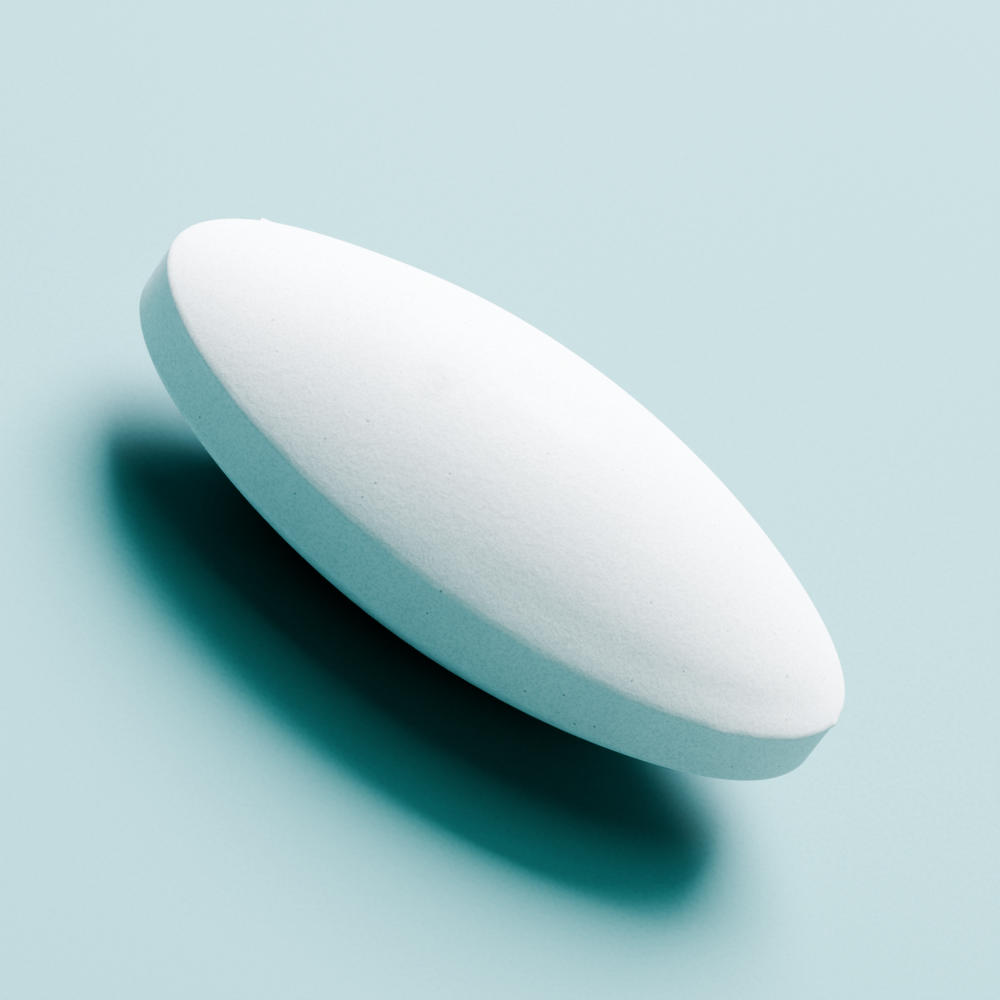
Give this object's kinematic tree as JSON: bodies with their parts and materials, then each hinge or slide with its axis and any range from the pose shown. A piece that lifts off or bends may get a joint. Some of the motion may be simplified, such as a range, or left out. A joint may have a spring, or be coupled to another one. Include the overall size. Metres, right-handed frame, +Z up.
{
  "type": "magnetic stir bar",
  "caption": "Oval magnetic stir bar: a domed crown above and below a flat upright band, moulded in white fluoropolymer round a sealed bar magnet.",
  "frame": {"origin": "the point the bar stands and spins on, under the middle of its lower crown", "axes": "+X along the bar's length, +Y across it, +Z up through both crowns"},
  "size_m": [0.032, 0.016, 0.0117],
  "materials": {
    "jacket": "fine matte, as moulded",
    "magnet": "ground"
  },
  "bodies": {
    "root": {"ptfe_jacket": "jacket", "bar_magnet": "magnet"}
  },
  "joints": []
}
